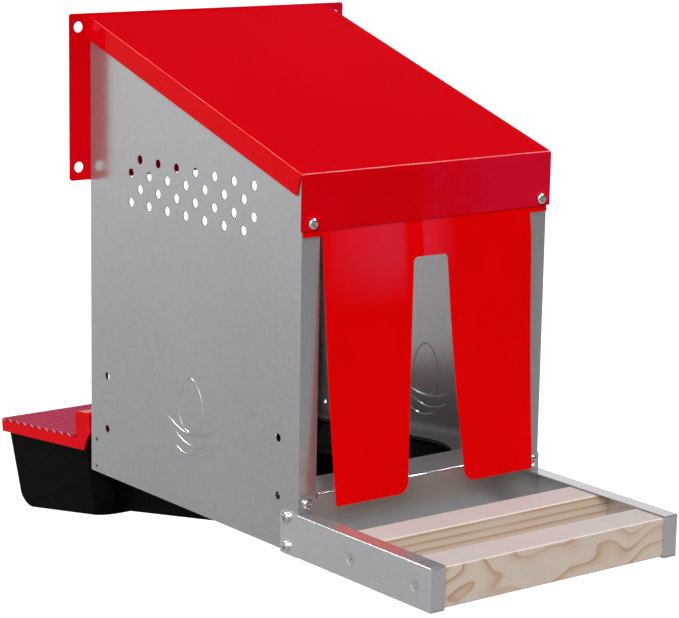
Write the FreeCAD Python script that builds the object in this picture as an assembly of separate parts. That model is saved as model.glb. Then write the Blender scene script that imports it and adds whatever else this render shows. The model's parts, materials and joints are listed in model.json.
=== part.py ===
"""Single roll-away nest box for hens: sheet-metal housing, roof, curtain, perch and egg tray.

Sizes are in millimetres.  Everything is laid out from the front lower edge of the side
panels (X to the right, Y towards the wall, Z up) and is shifted on saving, so that the
finished part has its origin on the wall face, in the middle of the four wall screw holes.
The floor, tray and lid share one slope, so they are drawn flat in a floor frame
(X, U along the slope, W square to it) and then tilted into place.
"""

import FreeCAD, Part
import math
import os

from FreeCAD import Placement, Rotation, Vector

# Housing
HALF_WIDTH = 150.0
DEPTH = 363.4
SHEET = 1.0
FLANGE_WIDTH = 21.5
REAR_FLANGE_WIDTH = 21.0
BEND_RADIUS = 1.8

# Roof and back
ROOF_HALF_WIDTH = 151.7
ROOF_FRONT_Y = -2.2
ROOF_FRONT_Z = 359.4
ROOF_SLOPE = 0.3134
ROOF_SKIRT_DEPTH = 22.3
ROOF_FOLD_RADIUS = 2.2
FASCIA_BOTTOM_Z = 306.1
BACK_PLATE_THICKNESS = 1.5
BACK_PLATE_HALF_WIDTH = 173.1
BACK_PLATE_BOTTOM_Z = 306.7
BACK_PLATE_TOP_Z = 476.5
EAR_HOLE_X = 162.5
EAR_HOLE_LOW_Z = 320.3
EAR_HOLE_HIGH_Z = 462.9
EAR_HOLE_RADIUS = 5.5
EAR_CORNER_RADIUS = 3.0

# Holes in the side panels
LINK_HOLE_Y = (31.6, 331.1)
LINK_HOLE_Z = (50.2, 106.3)
LINK_HOLE_RADIUS = 4.0
SMALL_HOLE_Y = 352.0
SMALL_HOLE_Z = (6.1, 34.7)
SMALL_HOLE_RADIUS = 2.0
VENT_RADIUS = 4.6
VENT_COUNT = 7
VENT_ROWS = 4
VENT_PITCH = 32.46
VENT_ROW_PITCH = 14.97
VENT_TOP_Z = 338.8
VENT_REAR_Y = 269.6

# Floor, threshold and runners
FLOOR_TOP_Z = 55.2
FLOOR_SLOPE = 0.0917
FLOOR_HALF_WIDTH = 148.8
FLOOR_OPENING_RADIUS = 122.6
FLOOR_OPENING_CENTRE_U = 146.6
FLOOR_OPENING_REAR_U = 328.4
FLOOR_LIP = 3.6
THRESHOLD_FACE_Y = -1.1
THRESHOLD_BOTTOM_Z = -2.0
THRESHOLD_EAR_TOP_Z = 56.0
THRESHOLD_EAR_RADIUS = 3.0
THRESHOLD_INNER_HALF_WIDTH = 127.8
SHELF_REAR_Y = 65.0
LINK_RELIEF_RADIUS = 9.0
LINK_RELIEF_X = 138.0

# Curtain
CURTAIN_THICKNESS = 1.0
STRIP_HALF_WIDTH = 148.5
STRIP_TOP_Z = 345.0
STRIP_BOTTOM_Z = 300.5
CURTAIN_TOP_HALF_WIDTH = 127.5
FLAP_HINGE_Y = -4.0
FLAP_HINGE_Z = 270.7
FLAP_GAP = 0.7
FLAP_BOTTOM_Z = 48.2
FLAP_BOTTOM_Y = -24.0
FLAP_OUTER_TOP_X = 126.8
FLAP_OUTER_BOTTOM_X = 121.6
FLAP_INNER_TOP_X = 20.5
FLAP_INNER_BOTTOM_X = 35.6
FLAP_CORNER_RADIUS = 11.0

# Perch
ARM_OUTER_X = 151.0
ARM_FLANGE_X = 134.0
ARM_FRONT_Y = -196.6
ARM_REAR_Y = 25.0
ARM_BOTTOM_Z = -2.6
ARM_TOP_Z = 38.8
BAR_SIZE = 38.0
BAR_BOTTOM_Z = -1.5
BAR_HALF_LENGTH = 149.9
BAR_EDGE_RADIUS = 1.5
ARM_BEND_RADIUS = 1.5
ARM_CORNER_SLIT = 0.4
DIMPLE_RADIUS = 6.2
BAR_Y = {"front": -175.2, "rear": -83.0}

# Egg tray and lid, in the floor frame
TRAY_RIM_W = -5.0
TRAY_RIM_THICKNESS = 2.5
TRAY_RIM_HALF_WIDTH = 127.6
TRAY_WALL = 2.5
TRAY_TOP_HALF_WIDTH = 124.4
TRAY_DRAFT = 0.09
TRAY_FRONT_U = 58.0
TRAY_REAR_U = 584.0
BIN_FRONT_U = 400.0
BIN_REAR_DRAFT = 0.085
BIN_FRONT_RADIUS = 20.0
BIN_REAR_RADIUS = 5.0
BIN_HEEL_RADIUS = 24.0
BIN_BOTTOM_W = (-81.2, -97.4)
CHUTE_HALF_WIDTH = 97.0
CHUTE_BOTTOM_W = (-50.6, -79.6)
LID_HALF_WIDTH = 130.3
LID_SKIRT = 2.2
LID_REAR_U = 587.0
LID_BOTTOM_W = -10.8
LID_PEAK_W = 4.0
LID_TROUGH_W = 0.0
LID_RIB_PITCH = 15.7
LID_RIBS = 10
LID_HINGE_U = 412.5
LID_HINGE_W = 15.5
HINGE_PIN_RADIUS = 2.5
HINGE_CLEARANCE = 0.08

# Fasteners
SCREW_RADIUS = 2.5
SCREW_HOLE_RADIUS = 2.75
PAN_HEAD_RADIUS = 5.3
PAN_HEAD_HEIGHT = 3.9
NUT_ACROSS_FLATS = 8.0
NUT_HEIGHT = 4.0
WOOD_SCREW_RADIUS = 2.0
WOOD_SCREW_HEAD_RADIUS = 4.2
WOOD_SCREW_LENGTH = 28.0
FASCIA_SCREW_X = 139.3
FASCIA_SCREW_Z = 313.2
THRESHOLD_SCREW_X = 140.0
THRESHOLD_SCREW_Z = 48.2
ARM_SCREW_Y = 14.5
ARM_SCREW_Z = (5.1, 33.4)
PERCH_SCREW_Z = 17.2
RIVET_X = 139.0
RIVET_Z = (330.0, 450.0)
RIVET_RADIUS = 2.0
RIVET_HEAD_RADIUS = 3.2
RIVET_HEAD_DEPTH = 1.0

X_AXIS = Vector(1, 0, 0)
Y_AXIS = Vector(0, 1, 0)
Z_AXIS = Vector(0, 0, 1)

BACK_PLATE_FRONT_Y = DEPTH + SHEET
WALL_Y = BACK_PLATE_FRONT_Y + BACK_PLATE_THICKNESS
ORIGIN = Vector(0, WALL_Y, 0.5 * (EAR_HOLE_LOW_Z + EAR_HOLE_HIGH_Z))
FLOOR_ANGLE = math.degrees(math.atan(FLOOR_SLOPE))


def roof_z(y):
    """Height of the roof's upper face."""
    return ROOF_FRONT_Z + ROOF_SLOPE * (y - ROOF_FRONT_Y)


def box(x_range, y_range, z_range):
    size = [high - low for low, high in (x_range, y_range, z_range)]
    return Part.makeBox(*size, Vector(x_range[0], y_range[0], z_range[0]))


def face_of(points):
    return Part.Face(Part.makePolygon(points + points[:1]))


def prism_x(outline, x_low, x_high):
    """Outline given as (y, z) pairs, extruded along X."""
    points = [Vector(x_low, y, z) for y, z in outline]
    return face_of(points).extrude(Vector(x_high - x_low, 0, 0))


def prism_y(outline, y_low, y_high):
    """Outline given as (x, z) pairs, extruded along Y."""
    points = [Vector(x, y_low, z) for x, z in outline]
    return face_of(points).extrude(Vector(0, y_high - y_low, 0))


def cylinder_x(x_low, x_high, y, z, radius):
    return Part.makeCylinder(radius, x_high - x_low, Vector(x_low, y, z), X_AXIS)


def cylinder_y(y_low, y_high, x, z, radius):
    return Part.makeCylinder(radius, y_high - y_low, Vector(x, y_low, z), Y_AXIS)


def round_edges(shape, radius, wanted):
    """Fillet the edges whose middle point and direction the wanted test accepts."""
    chosen = []
    for edge in shape.Edges:
        low, high = edge.ParameterRange
        middle = edge.valueAt(0.5 * (low + high))
        if wanted(middle, edge.tangentAt(low)):
            chosen.append(edge)
    return shape.makeFillet(radius, chosen)


def near(value, target, tolerance=0.05):
    return abs(value - target) < tolerance


def mirrored(shape):
    return shape.mirror(Vector(0, 0, 0), X_AXIS)


def tilt_to_floor(shape):
    """Move a shape from the floor frame (X, U, W) to the housing frame."""
    moved = shape.copy()
    turn = Placement(Vector(0, 0, 0), Rotation(X_AXIS, -FLOOR_ANGLE))
    moved.Placement = Placement(Vector(0, 0, FLOOR_TOP_Z), Rotation()) * turn * moved.Placement
    return moved


def save(name, shape):
    moved = shape.copy()
    moved.translate(-ORIGIN)
    moved.exportStep("parts/" + name + ".step")


# ---------------------------------------------------------------- fasteners


def cross_recess(size, depth):
    """Cross slot that sinks from the plane z = 0."""
    width = 0.25 * size
    blade = box((-size / 2, size / 2), (-width / 2, width / 2), (-depth, 0))
    return blade.fuse(blade.rotated(Vector(0, 0, 0), Z_AXIS, 90))


def pan_screw(length):
    """Pan-head machine screw: head above z = 0, thread below."""
    head = Part.makeCylinder(PAN_HEAD_RADIUS, PAN_HEAD_HEIGHT)
    head = round_edges(head, 2.4, lambda p, t: near(p.z, PAN_HEAD_HEIGHT))
    recess = cross_recess(5.4, 2.2)
    recess.translate(Vector(0, 0, PAN_HEAD_HEIGHT))
    shank = Part.makeCylinder(SCREW_RADIUS, length, Vector(0, 0, -length))
    return head.cut(recess).fuse(shank).removeSplitter()


def wood_screw_body(length):
    """Countersunk wood screw without its recess: head flush with z = 0, thread below."""
    head_height = WOOD_SCREW_HEAD_RADIUS - WOOD_SCREW_RADIUS
    head = Part.makeCone(WOOD_SCREW_RADIUS, WOOD_SCREW_HEAD_RADIUS, head_height,
                         Vector(0, 0, -head_height))
    shank = Part.makeCylinder(WOOD_SCREW_RADIUS, length - 6.0, Vector(0, 0, 6.0 - length))
    tip = Part.makeCone(0.3, WOOD_SCREW_RADIUS, 6.0, Vector(0, 0, -length))
    return head.fuse(shank).fuse(tip).removeSplitter()


def wood_screw(length):
    return wood_screw_body(length).cut(cross_recess(4.0, 1.4))


def nut():
    """Hexagon nut standing on z = 0, its hole a close fit on the screw."""
    corner = NUT_ACROSS_FLATS / math.sqrt(3)
    angles = [math.radians(60 * i) for i in range(6)]
    points = [Vector(corner * math.cos(a), corner * math.sin(a), 0) for a in angles]
    body = face_of(points).extrude(Vector(0, 0, NUT_HEIGHT))
    return body.cut(Part.makeCylinder(SCREW_RADIUS, NUT_HEIGHT))


def rivet_head():
    """Countersunk head, flush with z = 0."""
    return Part.makeCone(RIVET_RADIUS, RIVET_HEAD_RADIUS, RIVET_HEAD_DEPTH, Vector(0, 0, -RIVET_HEAD_DEPTH))


def rivet(grip):
    """Flush rivet: head in its countersink at z = 0, closed end below the grip length."""
    shank = Part.makeCylinder(RIVET_RADIUS, grip, Vector(0, 0, -grip))
    tail = Part.makeCylinder(3.2, 2.0, Vector(0, 0, -grip - 2.0))
    return rivet_head().fuse(shank).fuse(tail).removeSplitter()


def placed(shape, position, outward):
    """Turn a fastener drawn along +Z so that it points outward, and put it in place."""
    moved = shape.copy()
    moved.Placement = Placement(Vector(*position), Rotation(Z_AXIS, Vector(*outward)))
    return moved


# ------------------------------------------------------------------ housing


def panel_top_z(y):
    """Top edge of a side panel, just below the roof sheet."""
    return roof_z(y) - SHEET * math.hypot(1, ROOF_SLOPE) - 0.1


def side_panel_left():
    def profile(y_low, y_high, z_low):
        return [(y_low, z_low), (y_high, z_low), (y_high, panel_top_z(y_high)),
                (y_low, panel_top_z(y_low))]

    outer = prism_x(profile(0, DEPTH, 0), -HALF_WIDTH, -HALF_WIDTH + FLANGE_WIDTH)
    outer = round_edges(outer, BEND_RADIUS,
                        lambda p, t: near(p.x, -HALF_WIDTH) and near(abs(t.z), 1))
    hollow = [(SHEET, -1), (DEPTH - SHEET, -1), (DEPTH - SHEET, 500), (SHEET, 500)]
    panel = outer.cut(prism_x(hollow, -HALF_WIDTH + SHEET, 0))
    trim = box((-HALF_WIDTH + REAR_FLANGE_WIDTH, 0), (DEPTH - 2 * SHEET, DEPTH + 1), (-1, 500))
    panel = panel.cut(trim)
    for hole in side_panel_holes():
        panel = panel.cut(hole)
    for x in (-FASCIA_SCREW_X, -THRESHOLD_SCREW_X):
        z = FASCIA_SCREW_Z if x == -FASCIA_SCREW_X else THRESHOLD_SCREW_Z
        panel = panel.cut(cylinder_y(-1, 2, x, z, SCREW_HOLE_RADIUS))
    for z in RIVET_Z:
        panel = panel.cut(cylinder_y(DEPTH - 2, DEPTH + 1, -RIVET_X, z, RIVET_RADIUS))
    return panel


def side_panel_holes():
    """Cutters for every hole through the left side panel."""
    span = (-HALF_WIDTH - 1, -HALF_WIDTH + 2)
    cutters = []
    for y in LINK_HOLE_Y:
        for z in LINK_HOLE_Z:
            cutters.append(cylinder_x(*span, y, z, LINK_HOLE_RADIUS))
    for z in SMALL_HOLE_Z:
        cutters.append(cylinder_x(*span, SMALL_HOLE_Y, z, SMALL_HOLE_RADIUS))
    for z in ARM_SCREW_Z:
        cutters.append(cylinder_x(*span, ARM_SCREW_Y, z, SCREW_HOLE_RADIUS))
    for row in range(VENT_ROWS):
        z = VENT_TOP_Z - row * VENT_ROW_PITCH
        first_y = VENT_REAR_Y + (row % 2) * VENT_PITCH / 2
        for column in range(VENT_COUNT):
            y = first_y - column * VENT_PITCH
            cutters.append(cylinder_x(*span, y, z, VENT_RADIUS))
    return cutters


def roof():
    rear_y = BACK_PLATE_FRONT_Y
    drop = SHEET * math.hypot(1, ROOF_SLOPE)
    front_z = roof_z(ROOF_FRONT_Y)
    rear_z = roof_z(rear_y)
    fascia_inner = ROOF_FRONT_Y + SHEET
    rear_inner = rear_y - SHEET
    section = [(ROOF_FRONT_Y, FASCIA_BOTTOM_Z), (ROOF_FRONT_Y, front_z), (rear_y, rear_z),
               (rear_y, BACK_PLATE_BOTTOM_Z), (rear_inner, BACK_PLATE_BOTTOM_Z),
               (rear_inner, roof_z(rear_inner) - drop), (fascia_inner, roof_z(fascia_inner) - drop),
               (fascia_inner, FASCIA_BOTTOM_Z)]
    sheet = prism_x(section, -ROOF_HALF_WIDTH, ROOF_HALF_WIDTH)
    sheet = round_edges(sheet, ROOF_FOLD_RADIUS,
                        lambda p, t: near(p.y, ROOF_FRONT_Y) and near(p.z, front_z))
    for side in (-1, 1):
        x_outer = side * ROOF_HALF_WIDTH
        x_inner = side * (ROOF_HALF_WIDTH - SHEET)
        sheet = sheet.fuse(prism_x(roof_skirt_outline(), min(x_outer, x_inner), max(x_outer, x_inner)))
        sheet = sheet.cut(cylinder_y(ROOF_FRONT_Y - 1, 0, side * FASCIA_SCREW_X, FASCIA_SCREW_Z,
                                     SCREW_HOLE_RADIUS))
        for z in RIVET_Z:
            sheet = sheet.cut(cylinder_y(rear_inner - 1, rear_y + 1, side * RIVET_X, z, RIVET_RADIUS))
    sheet = sheet.removeSplitter()
    return round_edges(sheet, 0.8, lambda p, t: near(abs(p.x), ROOF_HALF_WIDTH)
                       and abs(t.y) > 0.9 and near(p.z, roof_z(p.y), 0.02))


def roof_skirt_outline():
    """Side skirt: parallel to the roof, its front end square to the slope."""
    length = math.hypot(1, ROOF_SLOPE)
    down = (ROOF_SLOPE / length * ROOF_SKIRT_DEPTH, -ROOF_SKIRT_DEPTH / length)
    front = ROOF_FRONT_Y + 1.5
    rear = BACK_PLATE_FRONT_Y
    rear_bottom_z = roof_z(rear) - ROOF_SKIRT_DEPTH * length
    return [(front, roof_z(front)), (rear, roof_z(rear)), (rear, rear_bottom_z),
            (front + down[0], roof_z(front) + down[1])]


def back_plate():
    plate = box((-BACK_PLATE_HALF_WIDTH, BACK_PLATE_HALF_WIDTH), (BACK_PLATE_FRONT_Y, WALL_Y),
                (BACK_PLATE_BOTTOM_Z, BACK_PLATE_TOP_Z))
    plate = round_edges(plate, EAR_CORNER_RADIUS, lambda p, t: near(abs(t.y), 1))
    for side in (-1, 1):
        for z in (EAR_HOLE_LOW_Z, EAR_HOLE_HIGH_Z):
            plate = plate.cut(cylinder_y(DEPTH, WALL_Y + 1, side * EAR_HOLE_X, z, EAR_HOLE_RADIUS))
        for z in RIVET_Z:
            plate = plate.cut(cylinder_y(DEPTH, WALL_Y + 1, side * RIVET_X, z, RIVET_RADIUS))
            plate = plate.cut(placed(rivet_head(), (side * RIVET_X, WALL_Y, z), Y_AXIS))
    return plate


# -------------------------------------------------------- floor and threshold


def opening_face(grow):
    """Floor opening in plan: half circle in front, straight sides, square rear."""
    radius = FLOOR_OPENING_RADIUS + grow
    centre = Vector(0, FLOOR_OPENING_CENTRE_U, 0)
    rear = FLOOR_OPENING_REAR_U + grow
    left = Vector(-radius, FLOOR_OPENING_CENTRE_U, 0)
    right = Vector(radius, FLOOR_OPENING_CENTRE_U, 0)
    front = centre - Vector(0, radius, 0)
    corners = [right, Vector(radius, rear, 0), Vector(-radius, rear, 0), left]
    edges = [Part.Arc(left, front, right).toShape()]
    edges += [Part.LineSegment(a, b).toShape() for a, b in zip(corners, corners[1:])]
    return Part.Face(Part.Wire(edges))


def floor_plate():
    front, rear = 1.5, 363.0
    sheet = box((-FLOOR_HALF_WIDTH, FLOOR_HALF_WIDTH), (front, rear), (-SHEET, 0))
    sheet = sheet.cut(opening_face(0).extrude(Vector(0, 0, -10)))
    lip = opening_face(SHEET).extrude(Vector(0, 0, FLOOR_LIP))
    lip = lip.cut(opening_face(0).extrude(Vector(0, 0, FLOOR_LIP)))
    lip.translate(Vector(0, 0, -FLOOR_LIP))
    sheet = sheet.fuse(lip)
    for side in (-1, 1):
        edges = sorted((side * FLOOR_HALF_WIDTH, side * (FLOOR_HALF_WIDTH - SHEET)))
        sheet = sheet.fuse(box(edges, (20, rear - 20), (-12, 0)))
    sheet = sheet.fuse(box((-128, 128), (rear - SHEET, rear), (-SHEET, 8)))
    return cut_link_relief(tilt_to_floor(sheet.removeSplitter()))


def cut_link_relief(sheet):
    """Clear the sheet's edges around the lower front link hole, for the bolt's nut."""
    for x_range in ((-HALF_WIDTH, -LINK_RELIEF_X), (LINK_RELIEF_X, HALF_WIDTH)):
        sheet = sheet.cut(cylinder_x(*x_range, LINK_HOLE_Y[0], LINK_HOLE_Z[0], LINK_RELIEF_RADIUS))
    return sheet


def tray_runner_left():
    """Folded strip under the floor's edge: its lower leg carries the tray's rim."""
    outer, web, lip = -147.6, -131.4, -125.2
    lip_top = TRAY_RIM_W - TRAY_RIM_THICKNESS - 0.3
    span = (30, 355)
    runner = box((outer, web), span, (-2 * SHEET, -SHEET))
    runner = runner.fuse(box((web - SHEET, web), span, (lip_top - SHEET, -SHEET)))
    runner = runner.fuse(box((web - SHEET, lip), span, (lip_top - SHEET, lip_top)))
    return tilt_to_floor(runner.removeSplitter())


def shelf_z(y):
    """Upper face of the shelf behind the threshold: one sheet above the floor."""
    return FLOOR_TOP_Z + SHEET + 0.1 - FLOOR_SLOPE * y


def threshold_plate():
    outer_x = HALF_WIDTH - 0.2
    inner_x = THRESHOLD_INNER_HALF_WIDTH
    notch_x = inner_x + 1.8
    notch_z = 52.0
    right = [(notch_x, notch_z), (notch_x, THRESHOLD_EAR_TOP_Z), (outer_x, THRESHOLD_EAR_TOP_Z),
             (outer_x, THRESHOLD_BOTTOM_Z)]
    left = [(-x, z) for x, z in reversed(right)]
    plate = prism_y(right + left, THRESHOLD_FACE_Y, THRESHOLD_FACE_Y + SHEET)
    plate = round_edges(plate, THRESHOLD_EAR_RADIUS, lambda p, t: near(abs(p.x), outer_x)
                        and near(p.z, THRESHOLD_EAR_TOP_Z) and near(abs(t.y), 1))
    plate = plate.fuse(threshold_fold(notch_z, inner_x))
    plate = plate.fuse(prism_x(shelf_outline(1.8), -148.4, 148.4)).removeSplitter()
    for side in (-1, 1):
        plate = plate.cut(cylinder_y(-3, 1, side * THRESHOLD_SCREW_X, THRESHOLD_SCREW_Z,
                                     SCREW_HOLE_RADIUS))
    return cut_link_relief(plate)


def threshold_fold(bottom_z, half_width):
    """Upper part of the face with the rounded fold into the shelf."""
    front = THRESHOLD_FACE_Y
    back = front + SHEET
    outline = [(front, bottom_z), (front, shelf_z(front)), (SHELF_REAR_Y, shelf_z(SHELF_REAR_Y)),
               (SHELF_REAR_Y, shelf_z(SHELF_REAR_Y) - SHEET), (back, shelf_z(back) - SHEET),
               (back, bottom_z)]
    fold = prism_x(outline, -half_width, half_width)
    return round_edges(fold, 1.6, lambda p, t: near(p.y, front) and near(p.z, shelf_z(front)))


def shelf_outline(front_y):
    return [(front_y, shelf_z(front_y)), (SHELF_REAR_Y, shelf_z(SHELF_REAR_Y)),
            (SHELF_REAR_Y, shelf_z(SHELF_REAR_Y) - SHEET), (front_y, shelf_z(front_y) - SHEET)]


# ------------------------------------------------------------------- curtain


def curtain_strip():
    """Clamped strip behind the fascia with the web that carries both legs."""
    rear = -0.1
    front = rear - CURTAIN_THICKNESS
    strip = box((-STRIP_HALF_WIDTH, STRIP_HALF_WIDTH), (front, rear), (STRIP_BOTTOM_Z, STRIP_TOP_Z))
    bottom_z = FLAP_HINGE_Z + FLAP_GAP
    half = CURTAIN_THICKNESS / 2
    web = [(front, STRIP_BOTTOM_Z + 4), (rear, STRIP_BOTTOM_Z + 4), (rear, STRIP_BOTTOM_Z),
           (FLAP_HINGE_Y + half, bottom_z), (FLAP_HINGE_Y - half, bottom_z), (front, STRIP_BOTTOM_Z)]
    strip = strip.fuse(prism_x(web, -CURTAIN_TOP_HALF_WIDTH, CURTAIN_TOP_HALF_WIDTH))
    for side in (-1, 1):
        strip = strip.cut(cylinder_y(-2, 1, side * FASCIA_SCREW_X, FASCIA_SCREW_Z, SCREW_HOLE_RADIUS))
    return strip.removeSplitter()


def curtain_flap_right():
    drop = FLAP_HINGE_Z - FLAP_BOTTOM_Z
    forward = FLAP_HINGE_Y - FLAP_BOTTOM_Y
    length = math.hypot(drop, forward)
    half = CURTAIN_THICKNESS / 2
    outline = [(FLAP_INNER_TOP_X, -FLAP_GAP), (FLAP_OUTER_TOP_X, -FLAP_GAP),
               (FLAP_OUTER_BOTTOM_X, -length), (FLAP_INNER_BOTTOM_X, -length)]
    leg = prism_y(outline, -half, half)
    leg = round_edges(leg, FLAP_CORNER_RADIUS, lambda p, t: near(p.x, FLAP_INNER_BOTTOM_X)
                      and near(p.z, -length) and near(abs(t.y), 1))
    leg.rotate(Vector(0, 0, 0), X_AXIS, -math.degrees(math.atan2(forward, drop)))
    leg.translate(Vector(0, FLAP_HINGE_Y, FLAP_HINGE_Z))
    return leg


# --------------------------------------------------------------------- perch


def perch_arm_left():
    rear = THRESHOLD_FACE_Y - 0.5
    arm = box((-ARM_OUTER_X, -ARM_FLANGE_X), (ARM_FRONT_Y, rear), (ARM_BOTTOM_Z, ARM_TOP_Z))
    arm = round_edges(arm, ARM_BEND_RADIUS, lambda p, t: near(p.x, -ARM_OUTER_X)
                      and not near(p.y, rear))
    hollow = box((-ARM_OUTER_X + SHEET, 0), (ARM_FRONT_Y + SHEET, rear + 1),
                 (ARM_BOTTOM_Z + SHEET, ARM_TOP_Z - SHEET))
    arm = arm.cut(hollow)
    for z in (ARM_TOP_Z - SHEET, ARM_BOTTOM_Z + SHEET + ARM_CORNER_SLIT):
        arm = arm.cut(box((-ARM_OUTER_X + ARM_BEND_RADIUS, 0), (ARM_FRONT_Y - 1, ARM_FRONT_Y + SHEET),
                          (z - ARM_CORNER_SLIT, z)))
    tab = box((-ARM_OUTER_X, -ARM_OUTER_X + SHEET), (rear, ARM_REAR_Y), (ARM_BOTTOM_Z, ARM_TOP_Z))
    tab = round_edges(tab, 2.0, lambda p, t: near(p.y, ARM_REAR_Y) and near(abs(t.x), 1))
    arm = arm.fuse(tab).removeSplitter()
    for z in ARM_SCREW_Z:
        arm = arm.cut(cylinder_x(-ARM_OUTER_X - 1, -ARM_OUTER_X + 2, ARM_SCREW_Y, z, SCREW_HOLE_RADIUS))
    for y in BAR_Y.values():
        arm = arm.cut(Part.makeCone(DIMPLE_RADIUS, WOOD_SCREW_HEAD_RADIUS, SHEET,
                                    Vector(-ARM_OUTER_X, y, PERCH_SCREW_Z), X_AXIS))
    return arm


def perch_bar(centre_y):
    half = BAR_SIZE / 2
    bar = box((-BAR_HALF_LENGTH, BAR_HALF_LENGTH), (centre_y - half, centre_y + half),
              (BAR_BOTTOM_Z, BAR_BOTTOM_Z + BAR_SIZE))
    bar = round_edges(bar, BAR_EDGE_RADIUS, lambda p, t: near(abs(t.x), 1))
    for side in (-1, 1):
        bar = bar.cut(placed(wood_screw_body(WOOD_SCREW_LENGTH),
                             perch_screw_position(side, centre_y), (side, 0, 0)))
    return bar


def perch_screw_position(side, y):
    return (side * (ARM_OUTER_X - SHEET - 0.1), y, PERCH_SCREW_Z)


# ------------------------------------------------------------------ egg tray


def rounded_rectangle(half_width, front, rear, radii, w):
    """Wire of a rectangle in plan at height w, with front and rear corner radii."""
    middle = Vector(0, 0.5 * (front + rear), w)
    base = Part.makePlane(2 * half_width, rear - front, Vector(-half_width, front, w))
    solid = base.extrude(Vector(0, 0, 1))
    for end, radius in zip((front, rear), radii):
        solid = round_edges(solid, radius, lambda p, t, u=end: near(abs(t.z), 1) and near(p.y, u))
    bottom = min(solid.Faces, key=lambda f: (f.CenterOfMass - middle).Length)
    return bottom.OuterWire


def bin_rear_u(w):
    """Outer face of the drafted rear wall at height w."""
    return TRAY_REAR_U - BIN_REAR_DRAFT * (TRAY_RIM_W - w)


def egg_bin(inset):
    """Deep rear end of the tray, moved inwards by the wall thickness."""
    wires = []
    for w in (20.0, -110.0):
        narrowing = TRAY_DRAFT * (TRAY_RIM_W - w) + inset
        radii = (BIN_FRONT_RADIUS - inset, BIN_REAR_RADIUS - inset)
        wires.append(rounded_rectangle(TRAY_TOP_HALF_WIDTH - narrowing, BIN_FRONT_U + inset,
                                       bin_rear_u(w) - inset + 2.0, radii, w))
    plan = Part.makeLoft(wires, True, True)
    front_w, rear_w = (w + inset for w in BIN_BOTTOM_W)
    heel_u = bin_rear_u(rear_w) - inset
    half = TRAY_TOP_HALF_WIDTH + 20
    profile = prism_x([(BIN_FRONT_U - 20, front_w), (heel_u, rear_w), (bin_rear_u(30) - inset, 30),
                       (BIN_FRONT_U - 20, 30)], -half, half)
    profile = round_edges(profile, BIN_HEEL_RADIUS - inset, lambda p, t: near(p.y, heel_u)
                          and near(p.z, rear_w))
    return plan.common(profile)


def egg_chute(inset):
    """Shallow front part of the tray, flared up to the rim."""
    front, rear = TRAY_FRONT_U + inset, BIN_FRONT_U + BIN_FRONT_RADIUS + 8.0
    front_w, rear_w = (w + inset for w in CHUTE_BOTTOM_W)
    profile = prism_x([(front, 20), (front, TRAY_RIM_W - 25), (front + 12, front_w),
                       (BIN_FRONT_U, rear_w), (rear, rear_w), (rear, 20)], -200, 200)
    top = TRAY_TOP_HALF_WIDTH - inset
    low = CHUTE_HALF_WIDTH - inset
    lift = 0.5 * inset
    right = [(top, 20), (top, TRAY_RIM_W - 2.5 + lift), (low, -32.0 + lift), (low - 2.0, -110)]
    section = prism_y(right + [(-x, w) for x, w in reversed(right)], 0, 700)
    return profile.common(section)


def tray_body(inset):
    return egg_bin(inset).fuse(egg_chute(inset))


def egg_tray():
    above = box((-200, 200), (0, 700), (TRAY_RIM_W, 60))
    outer = tray_body(0.0).cut(above)
    rim = box((-TRAY_RIM_HALF_WIDTH, TRAY_RIM_HALF_WIDTH), (TRAY_FRONT_U - 2, TRAY_REAR_U + 0.4),
              (TRAY_RIM_W - TRAY_RIM_THICKNESS, TRAY_RIM_W))
    rim = round_edges(rim, 8.0, lambda p, t: near(abs(t.z), 1))
    tray = outer.fuse(rim).cut(tray_body(TRAY_WALL)).removeSplitter()
    for side in (-1, 1):
        tray = tray.fuse(hinge_lug(side))
    return tilt_to_floor(tray.removeSplitter())


def hinge_lug(side):
    """Ear on the tray's rim that turns on the lid's hinge pin."""
    x_low, x_high = sorted((side * 119.0, side * 124.0))
    stem = box((x_low, x_high), (LID_HINGE_U - 4.5, LID_HINGE_U + 4.5), (TRAY_RIM_W - 2, LID_HINGE_W))
    knuckle = cylinder_x(x_low, x_high, LID_HINGE_U, LID_HINGE_W, 5.5)
    hole = cylinder_x(x_low - 1, x_high + 1, LID_HINGE_U, LID_HINGE_W,
                      HINGE_PIN_RADIUS + HINGE_CLEARANCE)
    return stem.fuse(knuckle).cut(hole).removeSplitter()


def rib_outline(drop):
    """Zigzag of the lid's ribs, from the hump to the rear edge."""
    rear = LID_REAR_U
    points = []
    for i in range(2 * LID_RIBS + 1):
        w = LID_TROUGH_W if i % 2 else LID_PEAK_W
        points.append((rear - i * LID_RIB_PITCH / 2, w - drop))
    return points


def hump_outline(inset):
    """Side outline of the raised hood over the lid's hinge."""
    rear, front, top, radius = 427.0 - inset, 398.0, 30.8 - inset, 8.0 - inset
    points = [(rear, LID_TROUGH_W)]
    for i in range(7):
        angle = math.radians(15 * i)
        points.append((rear - radius + radius * math.cos(angle), top - radius + radius * math.sin(angle)))
    for i in range(7):
        angle = math.radians(90 + 15 * i)
        points.append((front + 6 + 6 * math.cos(angle), top - 6 + 6 * math.sin(angle)))
    points += [(front, 10.0), (408.5, -1.0), (413.0, LID_BOTTOM_W)]
    return points


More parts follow.
